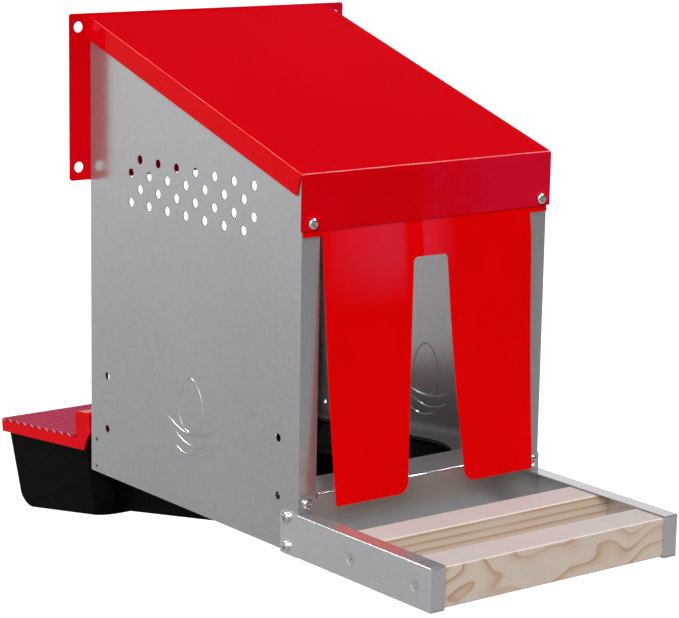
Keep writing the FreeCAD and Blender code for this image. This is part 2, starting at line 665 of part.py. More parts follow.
def tray_lid():
    ribs = rib_outline(0.0)
    front_u = ribs[-1][0]
    outer_outline = ribs + [(front_u, LID_TROUGH_W), (426.0, LID_TROUGH_W), (413.0, LID_BOTTOM_W),
                            (LID_REAR_U, LID_BOTTOM_W)]
    outer = prism_x(outer_outline, -LID_HALF_WIDTH, LID_HALF_WIDTH)
    outer = outer.fuse(prism_x(hump_outline(0.0) + [(427.0, LID_BOTTOM_W)],
                               -LID_HALF_WIDTH, LID_HALF_WIDTH))
    inner_x = LID_HALF_WIDTH - LID_SKIRT
    under_ribs = [(u, w) for u, w in rib_outline(2.0) if u < LID_REAR_U - LID_SKIRT]
    start = [(LID_REAR_U - LID_SKIRT, LID_BOTTOM_W - 1), (LID_REAR_U - LID_SKIRT, LID_TROUGH_W - 2.0)]
    inner_outline = start + under_ribs + [(424.8, LID_TROUGH_W - 2.0), (424.8, LID_BOTTOM_W - 1)]
    inner = prism_x(inner_outline, -inner_x, inner_x)
    hood = hump_outline(LID_SKIRT)
    hood = hood[:8] + [(390.0, hood[7][1]), (390.0, LID_BOTTOM_W - 1), (424.8, LID_BOTTOM_W - 1)]
    inner = inner.fuse(prism_x(hood, -inner_x, inner_x))
    socket = cylinder_x(-129.2, 129.2, LID_HINGE_U, LID_HINGE_W, HINGE_PIN_RADIUS)
    return tilt_to_floor(outer.cut(inner).cut(socket).removeSplitter())


def lid_hinge_pin():
    return tilt_to_floor(cylinder_x(-129.2, 129.2, LID_HINGE_U, LID_HINGE_W, HINGE_PIN_RADIUS))


# ------------------------------------------------------------ fastener groups


def fascia_fasteners():
    screws, nuts = [], []
    for side in (-1, 1):
        x = side * FASCIA_SCREW_X
        screws.append(placed(pan_screw(10.0), (x, ROOF_FRONT_Y, FASCIA_SCREW_Z), (0, -1, 0)))
        nuts.append(placed(nut(), (x, SHEET, FASCIA_SCREW_Z), (0, 1, 0)))
    return screws, nuts


def threshold_fasteners():
    screws, nuts = [], []
    for side in (-1, 1):
        x = side * THRESHOLD_SCREW_X
        screws.append(placed(pan_screw(8.0), (x, THRESHOLD_FACE_Y, THRESHOLD_SCREW_Z), (0, -1, 0)))
        nuts.append(placed(nut(), (x, SHEET, THRESHOLD_SCREW_Z), (0, 1, 0)))
    return screws, nuts


def arm_fasteners():
    screws, nuts = [], []
    for side in (-1, 1):
        for z in ARM_SCREW_Z:
            screws.append(placed(pan_screw(8.0), (side * ARM_OUTER_X, ARM_SCREW_Y, z), (side, 0, 0)))
            nuts.append(placed(nut(), (side * (HALF_WIDTH - SHEET), ARM_SCREW_Y, z), (-side, 0, 0)))
    return screws, nuts


def perch_screws():
    screw = wood_screw(WOOD_SCREW_LENGTH)
    return [placed(screw, perch_screw_position(side, y), (side, 0, 0))
            for side in (-1, 1) for y in BAR_Y.values()]


def back_plate_rivets():
    grip = 2 * SHEET + BACK_PLATE_THICKNESS
    return [placed(rivet(grip), (side * RIVET_X, WALL_Y, z), (0, 1, 0))
            for side in (-1, 1) for z in RIVET_Z]


def main():
    os.makedirs("parts", exist_ok=True)
    panel = side_panel_left()
    arm = perch_arm_left()
    runner = tray_runner_left()
    flap = curtain_flap_right()
    shapes = {
        "side_panel_left": panel,
        "side_panel_right": mirrored(panel),
        "roof": roof(),
        "back_plate": back_plate(),
        "floor_plate": floor_plate(),
        "threshold_plate": threshold_plate(),
        "tray_runner_left": runner,
        "tray_runner_right": mirrored(runner),
        "curtain_strip": curtain_strip(),
        "curtain_flap_left": mirrored(flap),
        "curtain_flap_right": flap,
        "perch_arm_left": arm,
        "perch_arm_right": mirrored(arm),
        "egg_tray": egg_tray(),
        "tray_lid": tray_lid(),
        "lid_hinge_pin": lid_hinge_pin(),
        "perch_screws": Part.makeCompound(perch_screws()),
        "back_plate_rivets": Part.makeCompound(back_plate_rivets()),
    }
    for name, centre_y in BAR_Y.items():
        shapes["perch_bar_" + name] = perch_bar(centre_y)
    groups = {"fascia": fascia_fasteners(), "threshold": threshold_fasteners(),
              "arm": arm_fasteners()}
    for name, (screws, nuts) in groups.items():
        shapes[name + "_screws"] = Part.makeCompound(screws)
        shapes[name + "_nuts"] = Part.makeCompound(nuts)
    for name, shape in shapes.items():
        save(name, shape)


main()
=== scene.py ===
"""Looks of the roll-away nest box: flexible curtain, embossed panels and every material.

All sizes are in metres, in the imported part's frame: X to the right, Y into the wall, Z up,
origin on the wall face in the middle of the four wall screw holes.
"""

import json
import math

import bmesh
import bpy
from mathutils import Matrix, Vector


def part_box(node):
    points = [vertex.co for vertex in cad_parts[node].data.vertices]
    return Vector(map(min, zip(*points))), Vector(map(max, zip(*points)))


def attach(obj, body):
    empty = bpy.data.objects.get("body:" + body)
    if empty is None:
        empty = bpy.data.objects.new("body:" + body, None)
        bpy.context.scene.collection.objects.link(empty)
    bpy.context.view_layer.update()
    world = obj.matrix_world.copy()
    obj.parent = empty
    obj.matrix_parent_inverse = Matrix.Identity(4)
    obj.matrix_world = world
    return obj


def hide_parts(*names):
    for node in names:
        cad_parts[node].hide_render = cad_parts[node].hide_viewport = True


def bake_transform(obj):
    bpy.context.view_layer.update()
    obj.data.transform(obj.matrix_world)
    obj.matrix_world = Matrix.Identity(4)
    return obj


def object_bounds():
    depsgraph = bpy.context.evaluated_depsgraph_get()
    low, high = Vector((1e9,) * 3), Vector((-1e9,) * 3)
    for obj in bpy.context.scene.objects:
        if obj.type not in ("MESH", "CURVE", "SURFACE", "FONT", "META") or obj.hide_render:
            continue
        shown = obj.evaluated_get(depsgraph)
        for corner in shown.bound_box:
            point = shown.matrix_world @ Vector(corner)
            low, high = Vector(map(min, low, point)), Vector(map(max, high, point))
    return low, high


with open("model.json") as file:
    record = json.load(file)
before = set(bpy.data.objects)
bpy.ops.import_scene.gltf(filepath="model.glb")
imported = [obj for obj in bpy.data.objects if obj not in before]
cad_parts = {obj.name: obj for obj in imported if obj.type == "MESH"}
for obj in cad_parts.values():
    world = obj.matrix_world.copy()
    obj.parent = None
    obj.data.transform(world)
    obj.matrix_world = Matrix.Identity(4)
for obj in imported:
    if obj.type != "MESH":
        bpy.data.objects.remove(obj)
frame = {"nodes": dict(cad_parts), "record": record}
CAD_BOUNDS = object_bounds()
NODES = frame["nodes"]

# Camera, in front of the box, to its left and slightly above.
CAMERA_AZIMUTH = -37.61
CAMERA_ELEVATION = 11.678
CAMERA_ROLL = 1.016
CAMERA_DISTANCE = 2.4586
CAMERA_TARGET = Vector((0.01097, -0.2159, -0.2010))
CAMERA_LENS = 129.64
CAMERA_SENSOR = 36.0

# Stage: the floor lies well below the box, which hangs on a wall in use. It glows white far
# off and in BEHIND_DIRECTION, which is away from the camera, and less in FRONT_RIGHT_DIRECTION.
FLOOR_DROP = 0.6
FLOOR_HALF_SIZE = 40.0
BEHIND_DIRECTION = (0.643, 0.766, 0.0)
FRONT_RIGHT_DIRECTION = (0.64, -0.77, 0.0)

# Direct light
SUN_DIRECTION = Vector((-0.60, -0.50, 0.62))
SUN_STRENGTH = 2.65
SUN_ANGLE = 40.0
INSIDE_LIGHT_POWER = 0.35
INSIDE_LIGHT_SIZE = (0.22, 0.20)
INSIDE_LIGHT_PLACE = (0.0, 0.02, -0.22)

# Surround: each light has the direction it comes from and its colours, from the opposite
# direction (0) to that direction (1).
WORLD_LIGHTS = (
    ((-0.60, -0.30, 0.74), ((0.0, (0.03, 0.03, 0.05)), (0.48, (0.05, 0.05, 0.08)),
                            (0.68, (0.38, 0.39, 0.43)), (1.0, (0.80, 0.80, 0.80)))),
    ((0.60, 0.79, 0.12), ((0.0, (0.0, 0.0, 0.0)), (0.965, (0.0, 0.0, 0.0)),
                          (0.985, (1.0, 1.0, 1.0)), (1.0, (1.0, 1.0, 1.0)))),
)

# Lights seen only in reflections: name, direction, size, radiance.
GLINT_CENTRE = Vector((0.0, -0.2, -0.1))
GLINT_DISTANCE = 3.0
GLINTS = (
    ("glint_front_fold", (0.60, -0.29, 0.74), (1.3, 1.3), 60.0),
    ("glint_skirt_fold", (-0.40, 0.49, 0.77), (1.0, 1.0), 70.0),
)

# Lower front edge of the side panels, from which the pieces below are laid out.
PANEL_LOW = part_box("side_panel_left")[0]
FRONT_Y = PANEL_LOW.y
BASE_Z = PANEL_LOW.z
PANEL_X = -PANEL_LOW.x
SHEET = 0.001

# Rounding of sharp edges, by material slot
BEVEL_SEGMENTS = 2
BEVEL_ANGLE = 30.0
BEVEL_WIDTHS = {"galvanised_sheet": 0.00025, "red_paint": 0.0003, "tray_plastic": 0.0008,
                "lid_plastic": 0.0005, "zinc_steel": 0.00015, "pine": 0.0004}

# Curtain: one sheet with a strip behind the fascia and two legs beside the entrance slot.
# Heights are measured from the panels' lower edge, widths from the centre line.
CURTAIN_THICKNESS = 0.001
CURTAIN_TOP = 0.345
CURTAIN_STRIP_BOTTOM = 0.3005
CURTAIN_SLOT_TOP = 0.271
CURTAIN_BOTTOM = 0.0482
CURTAIN_STRIP_HALF_WIDTH = 0.1485
CURTAIN_WEB_HALF_WIDTH = 0.1275
CURTAIN_LEG_OUTER = (0.1268, 0.1216)
CURTAIN_LEG_INNER = ((0.271, 0.0205), (0.180, 0.0260), (0.0482, 0.0358))
CURTAIN_SLOT_RADIUS = 0.0050
CURTAIN_TOE_RADIUS = 0.0110
CURTAIN_HEEL_TRIM = 0.0012
CURTAIN_LEAN = -0.0012
CURTAIN_PROFILE = ((0.350, -0.00065), (0.306, -0.00065), (0.300, -0.0014), (0.271, -0.0040),
                   (0.180, -0.0104), (0.110, -0.0168), (0.048, -0.0240), (0.000, -0.0300))
CURTAIN_LEG_ROWS = 44
CURTAIN_LEG_COLUMNS = 28
CURTAIN_WEB_ROWS = 10
CURTAIN_WEB_COLUMNS = 6
CURTAIN_STRIP_ROWS = 12
CURTAIN_STRIP_COLUMNS = 5
CURTAIN_TOE_STEP = 9
CURTAIN_SLOT_STEP = 10

# The sheet's slow waves and one crease in the web, and the pink sheen painted across them
CURTAIN_WAVE_DEPTH = 0.0009
CURTAIN_WAVE_LENGTH = 0.105
CURTAIN_WAVE_PHASE = 0.9
CURTAIN_WAVE_START = 0.16
CURTAIN_WAVE_RISE = 0.12
CURTAIN_HANG_RISE = 0.02
CURTAIN_CREASE_X = 0.009
CURTAIN_CREASE_WIDTH = 0.007
CURTAIN_CREASE_SHARE = 0.8
CURTAIN_SHEEN_X = (-0.13, 0.05)
CURTAIN_SHEEN_Z = (0.228, 0.272)
CURTAIN_SHEEN = ((0.0, (0.0,) * 3), (0.15, (0.45,) * 3), (0.44, (1.0,) * 3), (0.53, (0.8,) * 3),
                 (0.575, (0.0,) * 3), (0.668, (0.0,) * 3), (0.680, (0.9,) * 3), (0.76, (0.6,) * 3),
                 (0.90, (0.0,) * 3))

# Ribbed lid: the floor, tray and lid share one slope.
FLOOR_TILT = math.atan(0.0917)
RIB_TROUGH_LEVEL = -0.3684
RIB_HEIGHT = 0.004
RIB_MARGIN = 0.001
LID_EDGE_X = 0.1303
LID_RIM_WIDTH = 0.0012

# Embossed mark on the side panels: an egg over three strokes. Each stroke has its middle's
# offset, half its length, how far its ends rise and its level.
MARK_Y = 0.178
MARK_Z = 0.096
EGG_CENTRE_RISE = 0.010
EGG_HALF_WIDTH = 0.021
EGG_HALF_HEIGHT = 0.0275
EGG_TAPER = 0.16
EGG_STEPS = 48
STROKES = ((0.0, 0.040, 0.012, -0.019), (-0.004, 0.030, 0.009, -0.030),
           (0.006, 0.020, 0.006, -0.040))
STROKE_HALF_STEPS = 10

# Rounded ridge that draws the mark. Its section is given as shares of half the width and of
# the height, and it starts and ends at a share of its full size.
BEAD_WIDTH = 0.0016
BEAD_HEIGHT = 0.00045
BEAD_END_SHARE = 0.25
BEAD_SECTION = ((-1.0, 0.0), (-0.72, 0.62), (0.0, 1.0), (0.72, 0.62), (1.0, 0.0))
BEAD_SMOOTH_ANGLE = 80.0

# Tones of the zinc-coated sheet: the arms are a lighter copy as painted light, the floor plate a
# dark copy as painted shade
PANEL_TONE = 0.445
ARM_PAINTED_LIGHT_TONE = 0.60
FLOOR_PLATE_PAINTED_SHADE_TONE = 0.12

# Grain of the two bars: flat-sawn with wide swirls in front, straight behind.
PINE_FRONT = {"ring_pitch": 0.020, "swirl": 7.0, "stretch": 8.0, "seed": 1.7}
PINE_REAR = {"ring_pitch": 0.0080, "swirl": 1.2, "stretch": 4.0, "seed": 4.3}

# Colours, as linear red, green and blue, with an alpha where they are mixed in. Pairs of a
# position and a colour are the stops of a ramp.
WHITE = (1.0, 1.0, 1.0, 1.0)
ZINC_SPECKLE = (0.2, 0.2, 0.2, 1.0)
PAINT_RED = ((0.3, (0.61, 0.0, 0.003)), (0.7, (0.64, 0.0, 0.005)))
# Bluish red of the reflection painted on the right of the fascia
FASCIA_PAINTED_REFLECTION = (0.59, 0.003, 0.021, 1.0)
CURTAIN_RED = ((0.3, (0.70, 0.0, 0.0)), (0.7, (0.73, 0.0, 0.001)))
# Pink of the sheen painted on the curtain
CURTAIN_SHEEN_PINK = (0.69, 0.014, 0.032, 1.0)
PINE_PALE = (0.60, 0.50, 0.41)
PINE_WARM = (0.55, 0.38, 0.26)
PINE_TAN = (0.42, 0.23, 0.12)
PINE_BLOTCH = (0.60, 0.505, 0.43, 1.0)
# Paler grey of the painted light on the bars' tops
PINE_TOP_PAINTED_LIGHT = (0.545, 0.505, 0.485, 1.0)
PINE_FIBRE = (0.50, 0.38, 0.29, 1.0)
TRAY_BLACK = ((0.4, (0.0014, 0.0014, 0.0015)), (0.8, (0.004, 0.004, 0.004)))
LID_RED = ((0.3, (0.58, 0.0, 0.003)), (0.7, (0.62, 0.0, 0.005)))
# Painted light on the lid's ribbed top: shade in the grooves rising to a pink sheen on the crests,
# and a pale highlight at the side ends
LID_RIB_SHADE_AND_SHEEN = ((0.15, (0.10, 0.004, 0.014)), (0.45, (0.33, 0.028, 0.060)), (0.85, (0.42, 0.060, 0.105)))
LID_RIM_HIGHLIGHT = (0.95, 0.70, 0.72, 1.0)
FASTENER_ZINC = ((0.3, (0.60, 0.60, 0.59)), (0.7, (0.80, 0.80, 0.80)))
FLOOR_PALE = ((0.3, (0.40, 0.40, 0.40)), (0.7, (0.42, 0.42, 0.42)))
FLOOR_SHADE = (0.22, 0.22, 0.22, 1.0)


# ------------------------------------------------------------ mesh helpers


def link_object(name, data):
    """New object in the scene that shows a mesh, light or camera."""
    obj = bpy.data.objects.new(name, data)
    bpy.context.scene.collection.objects.link(obj)
    return obj


def make_object(name, vertices, faces):
    mesh = bpy.data.meshes.new(name)
    mesh.from_pydata([tuple(v) for v in vertices], [], faces)
    mesh.validate()
    mesh.update()
    return link_object(name, mesh)


def shade_smooth(obj, angle=35.0):
    """Smooth shading with sharp edges where faces meet at more than the angle."""
    bm = bmesh.new()
    bm.from_mesh(obj.data)
    bmesh.ops.recalc_face_normals(bm, faces=bm.faces)
    limit = math.radians(angle)
    for face in bm.faces:
        face.smooth = True
    for edge in bm.edges:
        edge.smooth = len(edge.link_faces) == 2 and edge.calc_face_angle(0.0) < limit
    bm.to_mesh(obj.data)
    bm.free()


def use_material(obj, material):
    obj.data.materials.clear()
    obj.data.materials.append(material)


def add_bevel(obj, width):
    bevel = obj.modifiers.new("edge_rounding", "BEVEL")
    bevel.width = width
    bevel.segments = BEVEL_SEGMENTS
    bevel.limit_method = "ANGLE"
    bevel.angle_limit = math.radians(BEVEL_ANGLE)
    bevel.harden_normals = True


def clamped(value):
    """The value, held between 0 and 1."""
    return min(max(value, 0.0), 1.0)


def spaced(low, high, count):
    return [low + (high - low) * i / count for i in range(count + 1)]


def interpolate(table, position):
    """Smooth (Catmull-Rom) value at a position in a table of falling (position, value) pairs."""
    for i in range(len(table) - 1):
        (high, a), (low, b) = table[i], table[i + 1]
        if position >= low or i == len(table) - 2:
            break
    before = table[i - 1] if i > 0 else (2 * high - low, 2 * a - b)
    after = table[i + 2] if i + 2 < len(table) else (2 * low - high, 2 * b - a)
    span = low - high
    t = (position - high) / span
    slope_a = (b - before[1]) / (low - before[0]) * span
    slope_b = (after[1] - a) / (after[0] - high) * span
    return ((2 * t ** 3 - 3 * t ** 2 + 1) * a + (t ** 3 - 2 * t ** 2 + t) * slope_a
            + (3 * t ** 2 - 2 * t ** 3) * b + (t ** 3 - t ** 2) * slope_b)


# -------------------------------------------------------- material helpers


def fill_ramp(node, stops):
    """Set a colour ramp node's stops, given as (position, colour) pairs."""
    elements = node.color_ramp.elements
    while len(elements) < len(stops):
        elements.new(0.5)
    for element, (position, color) in zip(elements, stops):
        element.position = position
        element.color = (*color, 1.0)


class Shader:
    """A node material with a Principled shader and short calls to add nodes."""

    def __init__(self, name):
        self.material = bpy.data.materials.new(name)
        self.material.use_nodes = True
        self.tree = self.material.node_tree
        self.bsdf = self.tree.nodes["Principled BSDF"]
        self.coordinates = self.add("ShaderNodeTexCoord").outputs["Object"]

    def add(self, kind, **settings):
        node = self.tree.nodes.new(kind)
        for key, value in settings.items():
            setattr(node, key, value)
        return node

    def put(self, socket, value):
        """Link another node's output into a socket, or set the socket's own value."""
        if isinstance(value, bpy.types.NodeSocket):
            self.tree.links.new(value, socket)
        else:
            socket.default_value = value

    def set(self, **values):
        """Set inputs of the Principled shader by name, with _ for each space."""
        for key, value in values.items():
            self.put(self.bsdf.inputs[key.replace("_", " ")], value)

    def mapped(self, scale, location=(0, 0, 0)):
        node = self.add("ShaderNodeMapping")
        self.put(node.inputs["Vector"], self.coordinates)
        node.inputs["Scale"].default_value = scale
        node.inputs["Location"].default_value = location
        return node.outputs["Vector"]

    def facing(self):
        """X, Y and Z of the direction that the surface faces."""
        return self.split(self.add("ShaderNodeTexCoord").outputs["Normal"])

    def noise(self, scale, detail=3.0, roughness=0.5, distortion=0.0, vector=None):
        node = self.add("ShaderNodeTexNoise")
        self.put(node.inputs["Vector"], vector or self.coordinates)
        node.inputs["Scale"].default_value = scale
        node.inputs["Detail"].default_value = detail
        node.inputs["Roughness"].default_value = roughness
        node.inputs["Distortion"].default_value = distortion
        return node.outputs["Fac"]

    def cells(self, scale):
        node = self.add("ShaderNodeTexVoronoi")
        self.put(node.inputs["Vector"], self.coordinates)
        node.inputs["Scale"].default_value = scale
        return node.outputs["Color"]

    def ramp(self, value, stops):
        node = self.add("ShaderNodeValToRGB")
        self.put(node.inputs["Fac"], value)
        fill_ramp(node, stops)
        return node.outputs["Color"]

    def remap(self, value, low, high, from_low=0.0, from_high=1.0):
        """Run from low to high, and no further, as the value goes from from_low to from_high."""
        node = self.add("ShaderNodeMapRange")
        self.put(node.inputs["Value"], value)
        node.inputs["From Min"].default_value = from_low
        node.inputs["From Max"].default_value = from_high
        node.inputs["To Min"].default_value = low
        node.inputs["To Max"].default_value = high
        return node.outputs["Result"]

    def math(self, operation, a, b=0.0):
        node = self.add("ShaderNodeMath", operation=operation)
        self.put(node.inputs[0], a)
        self.put(node.inputs[1], b)
        return node.outputs["Value"]

    def mix(self, factor, a, b):
        node = self.add("ShaderNodeMix", data_type="RGBA")
        self.put(node.inputs[0], factor)
        self.put(node.inputs[6], a)
        self.put(node.inputs[7], b)
        return node.outputs[2]

    def vector(self, operation, a, b=(0.0, 0.0, 0.0), output="Vector"):
        node = self.add("ShaderNodeVectorMath", operation=operation)
        self.put(node.inputs[0], a)
        self.put(node.inputs[1], b)
        return node.outputs[output]

    def split(self, vector=None):
        node = self.add("ShaderNodeSeparateXYZ")
        self.put(node.inputs[0], vector or self.coordinates)
        return node.outputs

    def bump(self, height, strength, distance, normal=None):
        node = self.add("ShaderNodeBump")
        self.put(node.inputs["Height"], height)
        node.inputs["Strength"].default_value = strength
        node.inputs["Distance"].default_value = distance
        if normal is not None:
            self.put(node.inputs["Normal"], normal)
        return node.outputs["Normal"]


# --------------------------------------------------------------- materials


def galvanised(name, tone_level):
    """Zinc-coated sheet: faint spangle, fine rolling lines and soft handling marks."""
    s = Shader(name)
    spangle = s.cells(140.0)
    lines = s.noise(55.0, 4.0, 0.6, vector=s.mapped(scale=(1.0, 1.0, 16.0)))
    cloud = s.noise(5.0, 3.0, 0.5)
    speckle = s.noise(450.0, 2.0, 0.7)
    stops = [(0.33, [tone_level - 0.02] * 3), (0.67, [tone_level + 0.02] * 3)]
    tone = s.mix(0.5, s.ramp(cloud, stops), s.ramp(lines, stops))
    tone = s.mix(s.remap(speckle, 0.0, 0.16, 0.45, 0.75), tone, ZINC_SPECKLE)
    s.set(Base_Color=s.mix(0.02, tone, spangle), Metallic=0.75)
    grain = s.math("ADD", s.math("MULTIPLY", lines, 0.6), s.math("MULTIPLY", cloud, 0.4))
    s.set(Roughness=s.remap(grain, 0.18, 0.27, 0.3, 0.7))
    s.set(Normal=s.bump(lines, 0.03, 0.0003, s.bump(cloud, 0.06, 0.002)))
    return s.material


def red_paint():
    """Gloss powder coat with a fine orange peel, and a reflection painted on the fascia's right."""
    s = Shader("red_paint")
    peel = s.noise(420.0, 2.0, 0.5)
    cloud = s.noise(5.0, 3.0, 0.5)
    red = s.ramp(cloud, PAINT_RED)
    mottle = s.noise(28.0, 5.0, 0.65)
    facing = s.facing()["Y"]
    edge = s.math("ADD", s.split()["X"], s.remap(mottle, -0.06, 0.06, 0.3, 0.7))
    # Painted reflection: a bluish red patch with a mottled edge on the right of the front-facing
    # fascia.
    painted_reflection = s.math("MULTIPLY", s.remap(facing, 1.0, 0.0, -0.95, -0.75),
                     s.remap(edge, 0.0, 1.0, -0.01, 0.07))
    s.set(Base_Color=s.mix(painted_reflection, red, FASCIA_PAINTED_REFLECTION))
    s.set(Roughness=s.remap(cloud, 0.10, 0.15), Specular_IOR_Level=0.03)
    s.set(Normal=s.bump(peel, 0.04, 0.0003, s.bump(cloud, 0.08, 0.002)))
    return s.material


def curtain_sheet():
    """Flexible red vinyl. Its pink sheen is painted, by place across the upper part."""
    s = Shader("curtain_sheet")
    cloud = s.noise(14.0, 3.0, 0.5)
    fine = s.noise(700.0, 2.0, 0.5)
    place = s.split()
    upper = s.remap(place["Z"], 0.0, 1.0, BASE_Z + CURTAIN_SHEEN_Z[0], BASE_Z + CURTAIN_SHEEN_Z[1])
    across = s.ramp(s.remap(place["X"], 0.0, 1.0, *CURTAIN_SHEEN_X), CURTAIN_SHEEN)
    sheen = s.math("MULTIPLY", upper, across)
    s.set(Base_Color=s.mix(sheen, s.ramp(cloud, CURTAIN_RED), CURTAIN_SHEEN_PINK))
    s.set(Roughness=s.remap(fine, 0.20, 0.26), Specular_IOR_Level=0.03)
    s.set(Normal=s.bump(fine, 0.04, 0.0002))
    return s.material


def pine(name, ring_pitch, swirl, stretch, seed):
    """Planed pine: narrow dark rings on a pale ground, fine fibres along X; painted light makes the
    tops paler and greyer.
    """
    s = Shader(name)
    place = s.mapped(scale=(stretch, 6.0, 17.0), location=(seed, 0.7 * seed, 1.3 * seed))
    drift = s.noise(1.0, 1.0, 0.4, 0.5, vector=place)
    height = s.split()["Z"]
    level = s.math("ADD", s.math("MULTIPLY", height, 1.0 / ring_pitch),
                   s.math("MULTIPLY", drift, swirl))
    ring = s.math("FRACT", level)
    rings = s.ramp(ring, [(0.0, PINE_PALE), (0.45, PINE_PALE), (0.76, PINE_WARM), (0.90, PINE_TAN),
                          (1.0, PINE_PALE)])
    blotch = s.noise(9.0, 2.0, 0.5, vector=s.mapped(scale=(1.0, 2.0, 2.0), location=(0, seed, 0)))
    color = s.mix(s.remap(blotch, 0.0, 0.55, 0.42, 0.65), rings, PINE_BLOTCH)
    # Painted light: faces turned up are blended towards a paler grey, for light from above.
    color = s.mix(s.remap(s.facing()["Z"], 0.0, 0.88, 0.5, 0.9), color, PINE_TOP_PAINTED_LIGHT)
    fibre = s.noise(800.0, 3.0, 0.6, vector=s.mapped(scale=(0.02, 1.0, 1.0)))
    color = s.mix(s.remap(fibre, 0.0, 0.25, 0.45, 0.75), color, PINE_FIBRE)
    s.set(Base_Color=color, Roughness=s.remap(fibre, 0.50, 0.66), Specular_IOR_Level=0.3)
    s.set(Normal=s.bump(fibre, 0.15, 0.0003, s.bump(ring, 0.04, 0.0002)))
    return s.material


def tray_plastic():
    """Black moulded plastic with a fine texture and faint scuffs."""
    s = Shader("tray_plastic")
    fine = s.noise(900.0, 2.0, 0.5)
    scuff = s.noise(40.0, 5.0, 0.7, vector=s.mapped(scale=(0.4, 1.0, 2.5)))
    s.set(Base_Color=s.ramp(scuff, TRAY_BLACK))
    s.set(Roughness=s.remap(scuff, 0.30, 0.46, 0.3, 0.8), Specular_IOR_Level=0.015)
    s.set(Normal=s.bump(fine, 0.08, 0.0003))
    return s.material


def lid_plastic():
    """Red moulded plastic: plain sides, and painted shade, sheen and highlights on the ribbed top.
    """
    s = Shader("lid_plastic")
    fine = s.noise(800.0, 2.0, 0.5)
    cloud = s.noise(12.0, 3.0, 0.5)
    red = s.ramp(cloud, LID_RED)
    place = s.split()
    level = s.math("ADD", s.math("MULTIPLY", place["Y"], math.sin(FLOOR_TILT)),
                   s.math("MULTIPLY", place["Z"], math.cos(FLOOR_TILT)))
    rise = s.remap(level, 0.0, 1.0, RIB_TROUGH_LEVEL, RIB_TROUGH_LEVEL + RIB_HEIGHT)
    # Painted highlight: a pale pink line along the crests at the lid's side ends.
    rim = s.remap(s.math("ABSOLUTE", place["X"]), 0.0, 0.85, LID_EDGE_X - LID_RIM_WIDTH, LID_EDGE_X)
    painted_highlight = s.math("MULTIPLY", rim, s.remap(rise, 0.0, 1.0, 0.1, 0.5))
    # Painted shade in the grooves and painted pink sheen on the crests, on up-facing faces below the
    # hood.
    rib_shade_and_sheen = s.mix(painted_highlight, s.ramp(rise, LID_RIB_SHADE_AND_SHEEN), LID_RIM_HIGHLIGHT)
    below_hood = s.math("LESS_THAN", level, RIB_TROUGH_LEVEL + RIB_HEIGHT + RIB_MARGIN)
    on_ribs = s.math("MULTIPLY", s.remap(s.facing()["Z"], 0.0, 1.0, 0.5, 0.85), below_hood)
    s.set(Base_Color=s.mix(on_ribs, red, rib_shade_and_sheen))
    s.set(Roughness=s.remap(cloud, 0.12, 0.18), Specular_IOR_Level=0.04)
    s.set(Normal=s.bump(fine, 0.05, 0.0002))
    return s.material


def zinc_steel():
    """Bright zinc-plated fasteners with light tool wear."""
    s = Shader("zinc_steel")
    wear = s.noise(300.0, 4.0, 0.6)
    s.set(Base_Color=s.ramp(wear, FASTENER_ZINC))
    s.set(Metallic=1.0, Roughness=s.remap(wear, 0.07, 0.18))
    s.set(Normal=s.bump(wear, 0.10, 0.0002))
    return s.material


def stage_floor():
    """Pale floor that brightens into the distance and most of all straight behind the box."""
    s = Shader("stage_floor")
    cloud = s.noise(2.0, 2.0, 0.5)
    flat = s.vector("MULTIPLY", s.coordinates, (1.0, 1.0, 0.0))
    reach = s.vector("LENGTH", flat, output="Value")
    aim = s.vector("NORMALIZE", flat)
    behind = s.vector("DOT_PRODUCT", aim, BEHIND_DIRECTION, "Value")
    front_right = s.vector("DOT_PRODUCT", aim, FRONT_RIGHT_DIRECTION, "Value")
    shade = s.math("MULTIPLY", s.remap(front_right, 0.0, 1.0, 0.2, 0.7),
                   s.remap(reach, 0.0, 1.0, 4.0, 8.0))
    s.set(Base_Color=s.mix(shade, s.ramp(cloud, FLOOR_PALE), FLOOR_SHADE))
    s.set(Roughness=0.9, Specular_IOR_Level=0.0)
    far = s.math("MULTIPLY", s.remap(reach, 0.0, 0.62, 1.6, 9.0),
                 s.remap(front_right, 1.0, 0.0, -0.2, 0.5))
    white = s.remap(behind, 0.0, 0.85, 0.6, 0.88)
    s.set(Emission_Color=WHITE, Emission_Strength=s.math("MAXIMUM", far, white))
    return s.material


# ----------------------------------------------------------------- curtain


def curtain_point(side, x, z):
    """Middle of the sheet at distance x from the centre line and height z."""
    y = interpolate(CURTAIN_PROFILE, z)
    hang = clamped((CURTAIN_STRIP_BOTTOM - z) / CURTAIN_HANG_RISE)
    fade = clamped((z - CURTAIN_WAVE_START) / CURTAIN_WAVE_RISE)
    turn = 2 * math.pi * side * x / CURTAIN_WAVE_LENGTH + CURTAIN_WAVE_PHASE
    wave = 0.5 + 0.5 * math.sin(turn)
    crease = math.exp(-((side * x - CURTAIN_CREASE_X) / CURTAIN_CREASE_WIDTH) ** 2)
    y -= CURTAIN_WAVE_DEPTH * hang * fade * fade * (wave + CURTAIN_CREASE_SHARE * crease)
    drop = clamped((CURTAIN_SLOT_TOP - z) / (CURTAIN_SLOT_TOP - CURTAIN_BOTTOM))
    return Vector((side * x + CURTAIN_LEAN * drop * drop, FRONT_Y + y, BASE_Z + z))


